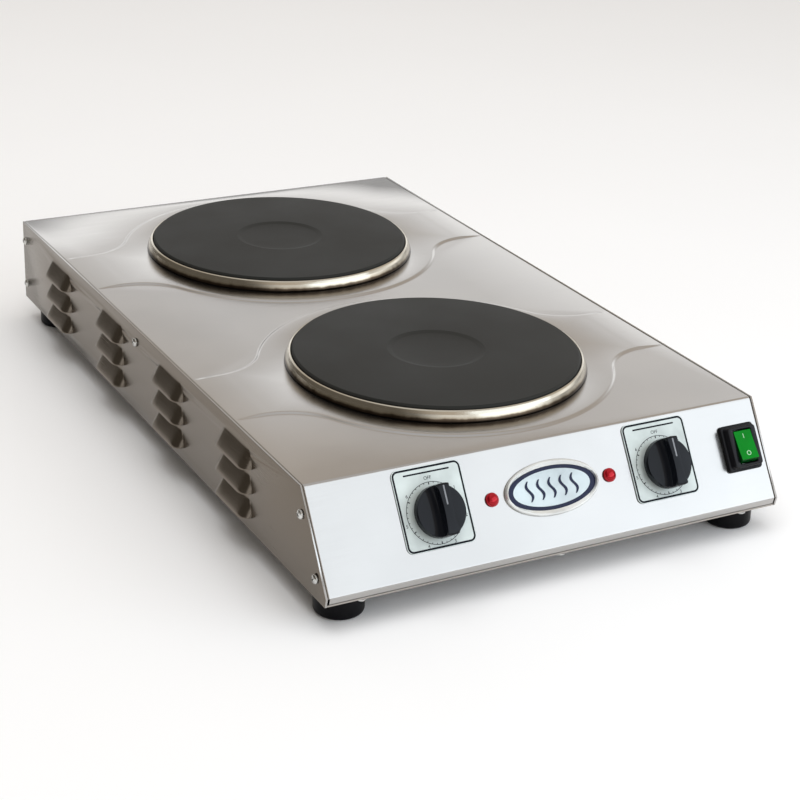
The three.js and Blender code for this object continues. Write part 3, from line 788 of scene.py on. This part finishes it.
# ---------- controls ----------
def knob_mesh():
    radius, base, top = KNOB["radius"], KNOB["base"], KNOB["top"]
    outside = [
        (0, base),
        (radius - 0.5, base, 0.3),
        (radius, base + 1, 0.3),
        (radius - 0.4, top, 1.3),
        (0, top),
    ]
    body = lathe(filleted(outside, 5), 96)
    floor, reach = KNOB["floor"], KNOB["scoop"]
    cutters = []
    for side in SIDES.values():
        shape = filleted([(0, floor), (reach, floor, 5.0), (reach, top + 2), (0, top + 2)], 8)
        cutter = lathe(shape, 160)
        cutter.transform(at(side * (reach + KNOB["bar"] / 2)))
        cutters.append(cutter)
    bore = lathe([(0, base - 1), (3.3, base - 1), (3.3, 8.7), (0, 8.7)], 32)
    shaped = cut_out(body, *cutters, bore)
    bmesh.ops.remove_doubles(shaped, verts=shaped.verts, dist=0.01)
    return bevel(shaped, 0.35, 3, 42)


def knobs():
    for name, side in SIDES.items():
        pointer = prism(rounded_rectangle(0.9, 11.0, 0.44, 4), KNOB["top"] - 0.3, KNOB["top"] + 0.06)
        pointer.transform(at(0, 7.8, 0))
        whole = merged(knob_mesh(), paint(pointer, 1))
        space = front_space @ at(side * KNOB_X)
        node = f"knob_{name}"
        finishes = [black_gloss, pointer_paint]
        piece(whole, f"grip_{name}", space, finishes, "knob_black", node, node, sharp=40)


def text_mesh(words, size):
    """Generic lettering as a thin raised mesh, centred on the origin."""
    curve = bpy.data.curves.new("words", "FONT")
    curve.body = words
    curve.size = size
    curve.align_x = "CENTER"
    curve.align_y = "CENTER"
    curve.extrude = 0.04
    curve.resolution_u = 3
    holder = bpy.data.objects.new("words", curve)
    bpy.context.scene.collection.objects.link(holder)
    made = bmesh.new()
    made.from_mesh(holder.evaluated_get(bpy.context.evaluated_depsgraph_get()).to_mesh())
    bpy.data.objects.remove(holder)
    bpy.data.curves.remove(curve)
    return made


def band(outer, inner, low, high):
    """A flat band between two outlines with the same number of points."""
    rings = [(outer, low), (outer, high), (inner, high), (inner, low)]
    return loft([[(x, y, z) for x, y in outline] for outline, z in rings], closed=True)


def dial_plates():
    width, height, corner = DIAL["width"], DIAL["height"], DIAL["corner"]
    ink_low, ink_high = DIAL["high"] - 0.1, DIAL["high"] + 0.05
    for name, side in SIDES.items():
        outline = rounded_rectangle(width, height, corner, 8)
        raised = [(x, y + DIAL["up"]) for x, y in outline]
        plate = bevel(prism(raised, DIAL["low"], DIAL["high"]), 0.12, 2, 60)
        prints = []
        outer, inner = (
            rounded_rectangle(width - 2 * inset, height - 2 * inset, corner - inset, 8)
            for inset in DIAL["outline"]
        )
        frame_line = band(outer, inner, ink_low, ink_high)
        frame_line.transform(at(0, DIAL["up"]))
        prints.append(frame_line)
        ring_outer, ring_inner = circle(DIAL["ring"] + 0.16, 96), circle(DIAL["ring"] - 0.16, 96)
        prints.append(band(ring_outer, ring_inner, ink_low, ink_high))
        for step in range(36):
            long = step % 6 == 0
            wide, tall = (0.6, 1.5) if long else (0.34, 0.9)
            tick = prism(rounded_rectangle(wide, tall, 0.12, 2), ink_low, ink_high)
            tick.transform(Matrix.Rotation(step * math.pi / 18, 4, "Z") @ at(0, DIAL["ring"] - tall / 2))
            prints.append(tick)
        for number in range(1, 7):
            turn = -number * 2 * math.pi / 7
            digit = text_mesh(str(number), 2.8)
            digit.transform(at(19.3 * math.sin(-turn), 19.3 * math.cos(turn) - 0.2, ink_high - 0.04))
            prints.append(digit)
        word = text_mesh("OFF", 2.8)
        word.transform(at(0, 19.9, ink_high - 0.04))
        rule = prism(rounded_rectangle(29, 0.9, 0.4, 3), ink_low, ink_high)
        rule.transform(at(0, 23.2))
        prints.extend([word, rule])
        whole = merged(plate, *(paint(mark, 1) for mark in prints))
        space = front_space @ at(side * KNOB_X)
        finishes = [dial_face, print_black]
        piece(whole, f"dial_{name}", space, finishes, "dial_print", "casing", f"dial_plate_{name}")


def lamps():
    for name in SIDES:
        low, high = (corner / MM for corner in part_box(f"pilot_lens_{name}"))
        radius, reach = LAMP["radius"], LAMP["reach"]
        turns = [i * math.pi / 20 for i in range(11)]
        dome = [(radius * 0.86 * math.cos(a), 1.3 + (reach - 1.3) * math.sin(a)) for a in turns]
        lens = lathe([(0, GAP), (radius * 0.86, GAP), *dome[:-1], (0, reach)], 48)
        rim_outline = [
            (radius * 0.82, GAP),
            (radius, GAP, 0.1),
            (radius, 1.3, 0.45),
            (radius * 0.87, 1.35),
            (radius * 0.82, 0.9),
        ]
        rim = filleted(rim_outline, 4)
        collar = lathe(rim, 48, closed=True)
        space = front_space @ at((low.x + high.x) / 2, LAMP["up"])
        whole = merged(lens, collar)
        piece(whole, f"lamp_{name}", space, [lamp_red], "lamp_red", "casing", f"pilot_lens_{name}", sharp=60)


def oval(half_width, half_height, z, count=120):
    turn = 2 * math.pi / count
    return [(half_width * math.cos(i * turn), half_height * math.sin(i * turn), z) for i in range(count)]


def heat_wave(shift):
    """One plain rising wave, tapered to both ends."""
    steps = 24
    rings = []
    for step in range(steps + 1):
        t = step / steps
        x, y = shift + 1.5 * math.sin(t * 2 * math.pi), -6.0 + 12.0 * t
        half = 1.0 * math.sin(math.pi * (0.08 + 0.84 * t)) ** 0.6
        rings.append([(x - half, y, 0.6), (x - half, y, 0.9), (x + half, y, 0.9), (x + half, y, 0.6)])
    return loft(rings, cap=True)


def badge():
    rim, ring, face = 0, 1, 2
    steps = [
        (31.0, 16.0, 0.3, rim),
        (31.0, 16.0, 1.2, rim),
        (30.8, 15.8, 1.9, rim),
        (30.3, 15.2, 2.45, rim),
        (29.8, 14.7, 2.6, rim),
        (29.5, 14.0, 2.3, rim),
        (29.3, 12.6, 0.9, ring),
        (29.1, 12.2, 0.75, ring),
        (27.3, 11.3, 0.9, ring),
        (25.6, 10.4, 0.8, face),
        (25.2, 10.1, 0.7, face),
    ]
    plate = loft([oval(*step[:3]) for step in steps], cap=True)
    plate.faces.ensure_lookup_table()
    around = len(oval(1, 1, 0))
    for index, step in enumerate(steps[:-1]):
        for face_number in range(index * around, (index + 1) * around):
            plate.faces[face_number].material_index = step[3]
    plate.faces[-1].material_index = face
    waves = [paint(heat_wave(shift), ring) for shift in (-15, -7.5, 0, 7.5, 15)]
    whole = merged(plate, *waves)
    space = front_space @ at(0, BADGE_UP)
    piece(whole, "emblem", space, [badge_rim, badge_ring, badge_face], "badge_silver", "casing", "badge")


def rocker_height(share):
    """How far the rocker's top is above its pivot, this share of the way from its middle to an end."""
    end, middle = ROCKER["end_rise"] - ROCKER["pivot"], ROCKER["middle"] - ROCKER["pivot"] - 1
    return end * share**2 + middle * (1 - share**2)


def switch():
    space = front_space @ at(SWITCH["x"], SWITCH["up"])
    width, length, flange, collar = (SWITCH[key] for key in ("width", "length", "flange", "collar"))
    outside = [
        (0.0, 2.2, GAP),
        (0.0, 2.2, flange - 0.7),
        (0.15, 2.1, flange - 0.3),
        (0.5, 2.0, flange),
        (1.5, 2.0, flange + 0.1),
        (1.7, 2.0, flange + 0.6),
        (2.0, 1.9, collar - 0.6),
        (2.2, 1.8, collar - 0.2),
        (2.5, 1.6, collar),
    ]
    loops = [(width - 2 * inset, length - 2 * inset, corner, z) for inset, corner, z in outside]
    well_width, well_length = 2 * (ROCKER["half_width"] + GAP), 2 * (ROCKER["radius"] + GAP)
    well = [
        (0.4, 0.9, collar),
        (0.15, 0.8, collar - 0.2),
        (0.0, 0.7, collar - 0.8),
        (0.0, 0.7, GAP),
    ]
    for flare, corner, z in well:
        loops.append((well_width + 2 * flare, well_length + 2 * flare, corner, z))
    rings = [[(x, y, z) for x, y in rounded_rectangle(w, h, corner, 6)] for w, h, corner, z in loops]
    body = loft(rings, closed=True)
    piece(body, "bezel", space, [black_satin], "housing_black", "casing", "switch_frame", sharp=50)

    radius, pivot = ROCKER["radius"], ROCKER["pivot"]
    rise = math.asin((ROCKER["end_rise"] - pivot) / radius)
    end = arc(0, 0, radius, -0.3, rise, 6)
    top = [
        (radius * math.cos(rise) * share, rocker_height(share))
        for share in (0.75, 0.5, 0.25, 0, -0.25, -0.5, -0.75)
    ]
    outline = [(-4, -5.5), (4, -5.5), *end, *top, *[(-y, z) for y, z in reversed(end)]]
    half = ROCKER["half_width"]
    rocker = loft([[(x, y, z) for y, z in outline] for x in (-half, half)], cap=True)
    bevel(rocker, 0.4, 3, 40)
    # Faces near the rocker's ends and sides take the darker green: painted shade on its rounded rim.
    for face in rocker.faces:
        middle = face.calc_center_median()
        if abs(middle.x) > half - 0.9 or abs(middle.y) > radius - 1.9:
            face.material_index = 2
    marks = [(text_mesh("I", 4.2), 5.4), (text_mesh("O", 4.2), -5.4)]
    lifted = []
    for mark, y in marks:
        z = rocker_height(abs(y) / radius) + 0.03
        tilt = 0.02 * (1 if y > 0 else -1)
        mark.transform(at(0, y, z) @ Matrix.Rotation(tilt, 4, "X"))
        lifted.append(paint(mark, 1))
    whole = merged(rocker, *lifted)
    tilt = Matrix.Rotation(-math.radians(ROCKER["throw"] / 2), 4, "X")
    finishes = [rocker_green, mark_white, rocker_edge_shade]
    piece(whole, "rocker_lens", space @ at(0, 0, pivot) @ tilt, finishes, "rocker_green", "rocker", "rocker")


def gland():
    low, high = (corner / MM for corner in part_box("cable_gland"))
    keys = ("barrel", "bore", "hex", "reach", "inside")
    barrel, bore, hexagon, reach, inside = (GLAND[key] for key in keys)
    tube = [
        (bore, -inside),
        (barrel, -inside, 0.4),
        (barrel, 6),
        (hexagon - 2.2, 6, 0.5),
        (hexagon - 2.6, 8.5, 1.5),
        (barrel, reach, 1.5),
        (bore, reach, 0.8),
    ]
    body = lathe(filleted(tube, 5), 64, closed=True)
    collar = bevel(prism(circle(hexagon, 6), GAP, 6.2), 0.5, 3)
    core = lathe([(0, -1), (barrel - 0.5, -1), (barrel - 0.5, 8), (0, 8)], 48)
    whole = merged(cut_out(collar, core), body)
    turn = Matrix.Rotation(-math.pi / 2, 4, "X")
    place = Matrix.Scale(MM, 4) @ at((low.x + high.x) / 2, high.y - reach, (low.z + high.z) / 2) @ turn
    piece(whole, "gland", place, [black_satin], "housing_black", "casing", "cable_gland")


def carried_over():
    """The CAD nodes whose shape is right as it is, with better finishes."""
    finishes = {
        "back_panel": back_steel,
        "base_panel": back_steel,
        "clamp_bar": zinc,
        "plate_stud": zinc,
        "plate_nut": zinc,
        "knob_shaft": zinc,
        "plate_terminal": ceramic_cream,
        "mains_terminal": ceramic_cream,
        "lead_": lead_sleeve,
        "pilot_body": black_satin,
        "energy_regulator": black_satin,
        "switch_body": black_satin,
        "gland_nut": black_satin,
    }
    for name, node in frame["nodes"].items():
        for start, finish in finishes.items():
            if name.startswith(start):
                node.data.materials.clear()
                node.data.materials.append(finish)


# ---------- floor, light and camera ----------
NEUTRAL, WARM = (1, 1, 1), (1, 0.9, 0.79)
SKY_POWER = 2.0
SKY = [  # the sine of the elevation, how bright the studio is there, and its tint
    (0.0, 0.4, NEUTRAL),
    (0.08, 0.7, NEUTRAL),
    (0.18, 1.75, NEUTRAL),
    (0.27, 1.3, NEUTRAL),
    (0.36, 0.95, NEUTRAL),
    (0.5, 0.68, WARM),
    (0.75, 0.7, WARM),
    (1.0, 0.85, NEUTRAL),
]


def floor():
    finish = Finish("floor_paint", (0.93, 0.935, 0.945), 0.7, specular_ior_level=0.2)
    mottle = finish.noise(3.0, detail=2.0)
    finish.color(finish.ramp(mottle, [(0.3, (0.925, 0.93, 0.94)), (0.7, (0.935, 0.94, 0.95))]))
    mesh = bpy.data.meshes.new("floor")
    size = 30.0
    corners = [(-size, -size, 0), (size, -size, 0), (size, size, 0), (-size, size, 0)]
    mesh.from_pydata(corners, [], [(0, 1, 2, 3)])
    mesh.materials.append(finish.material)
    made = bpy.data.objects.new("floor", mesh)
    bpy.context.scene.collection.objects.link(made)


def softbox(name, direction, distance, width, height, power, color, glossy=True):
    light = bpy.data.lights.new(name, "AREA")
    light.shape = "RECTANGLE"
    light.size = width
    light.size_y = height
    light.energy = power
    light.color = color
    made = bpy.data.objects.new(name, light)
    bpy.context.scene.collection.objects.link(made)
    away = Vector(direction).normalized()
    made.location = away * distance
    made.rotation_euler = away.to_track_quat("Z", "Y").to_euler()
    made.visible_glossy = glossy


def sky():
    """A studio seen in the steel: bright low behind and to the right, softer above, dark to the left."""
    world = bpy.data.worlds.new("studio")
    bpy.context.scene.world = world
    world.use_nodes = True
    tree = world.node_tree
    direction = tree.nodes.new("ShaderNodeTexCoord").outputs["Generated"]
    split = tree.nodes.new("ShaderNodeSeparateXYZ")
    tree.links.new(direction, split.inputs[0])
    ramp = tree.nodes.new("ShaderNodeValToRGB")
    tree.links.new(split.outputs["Z"], ramp.inputs["Fac"])
    elements = ramp.color_ramp.elements
    while len(elements) < len(SKY):
        elements.new(0.5)
    for element, (position, level, tint) in zip(elements, SKY):
        element.position = position
        element.color = (*(level * channel / SKY_POWER for channel in tint), 1)
    towards_dark = tree.nodes.new("ShaderNodeVectorMath")
    towards_dark.operation = "DOT_PRODUCT"
    towards_dark.inputs[1].default_value = (-0.98, 0.18, 0)
    tree.links.new(direction, towards_dark.inputs[0])
    share = tree.nodes.new("ShaderNodeMapRange")
    share.interpolation_type = "SMOOTHSTEP"
    share.inputs["From Min"].default_value = 0.15
    share.inputs["From Max"].default_value = 0.6
    tree.links.new(towards_dark.outputs["Value"], share.inputs["Value"])
    mix = tree.nodes.new("ShaderNodeMix")
    mix.data_type = "RGBA"
    tree.links.new(share.outputs["Result"], mix.inputs["Factor"])
    tree.links.new(ramp.outputs["Color"], mix.inputs[6])
    mix.inputs[7].default_value = (*(channel / SKY_POWER for channel in (0.15, 0.135, 0.115)), 1)
    background = tree.nodes["Background"]
    background.inputs["Strength"].default_value = SKY_POWER
    tree.links.new(mix.outputs[2], background.inputs["Color"])


def camera():
    azimuth, elevation, roll = (math.radians(angle) for angle in (-28.8, 23.7, 2.226))
    distance, aim = 1.19535, Vector((-0.02797, -0.10592 + Y_SHIFT, 0.0555))
    level = math.cos(elevation)
    back = Vector((math.sin(azimuth) * level, -math.cos(azimuth) * level, math.sin(elevation)))
    right = Vector((math.cos(azimuth), math.sin(azimuth), 0))
    up = back.cross(right)
    turned_right = math.cos(roll) * right + math.sin(roll) * up
    turned_up = math.cos(roll) * up - math.sin(roll) * right
    data = bpy.data.cameras.new("camera")
    data.lens = 86.94
    data.sensor_width = 36
    made = bpy.data.objects.new("camera", data)
    bpy.context.scene.collection.objects.link(made)
    axes = Matrix((turned_right, turned_up, back)).transposed().to_4x4()
    made.matrix_world = at(*(aim + back * distance)) @ axes
    bpy.context.scene.camera = made


camera()
sky()
floor()
softbox("front_box", (0.45, -0.72, 0.45), 1.6, 1.7, 0.95, 7.6, (0.74, 0.87, 1.0))
softbox("fill_box", (-0.1, -0.1, 1.0), 2.2, 2.0, 2.0, 23, (1.0, 1.0, 1.0), glossy=False)
bpy.context.scene.view_settings.view_transform = "Standard"

top_cover()
for side_name, side_sign in SIDES.items():
    side_panel(side_name, side_sign)
screws()
feet()
cooking_plates()
knobs()
dial_plates()
lamps()
badge()
switch()
gland()
carried_over()
